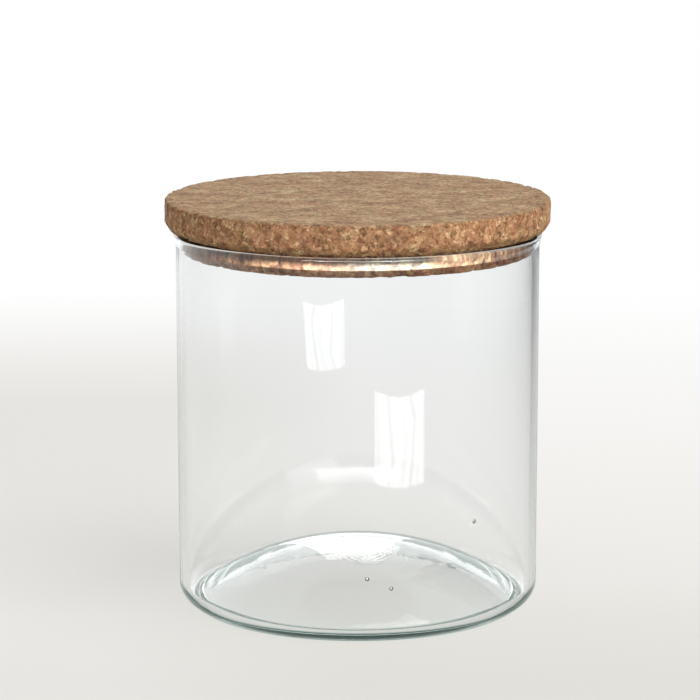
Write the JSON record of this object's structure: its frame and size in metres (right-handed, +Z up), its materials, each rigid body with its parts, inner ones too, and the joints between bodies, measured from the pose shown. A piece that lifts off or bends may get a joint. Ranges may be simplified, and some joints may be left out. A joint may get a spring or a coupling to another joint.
{
  "type": "glass storage jar with cork lid",
  "caption": "Round clear glass storage jar with a rounded heel, a domed floor and a beaded rim, closed by a stepped cork lid that plugs the mouth.",
  "frame": {"origin": "centre of the base, on the surface that the jar stands on", "axes": "+Z up along the axis of the jar and the lid; X and Y are free, as every piece is round"},
  "size_m": [0.1272, 0.1272, 0.1357],
  "materials": {
    "clear_glass": "blown, fire-polished, faintly green at the thick edges",
    "cork_disc": "agglomerated cork, sanded, unsealed",
    "cork_plug": "agglomerated cork, coarser grain, cut and unsealed"
  },
  "bodies": {
    "jar": {"glass_jar": "clear_glass"},
    "lid": {"lid_disc": "cork_disc", "lid_plug": "cork_plug"}
  },
  "joints": [
    {"name": "lid_lift", "type": "slide", "parent": "jar", "child": "lid", "axis": [0, 0, 1], "range_m": [0, 0.1]}
  ]
}
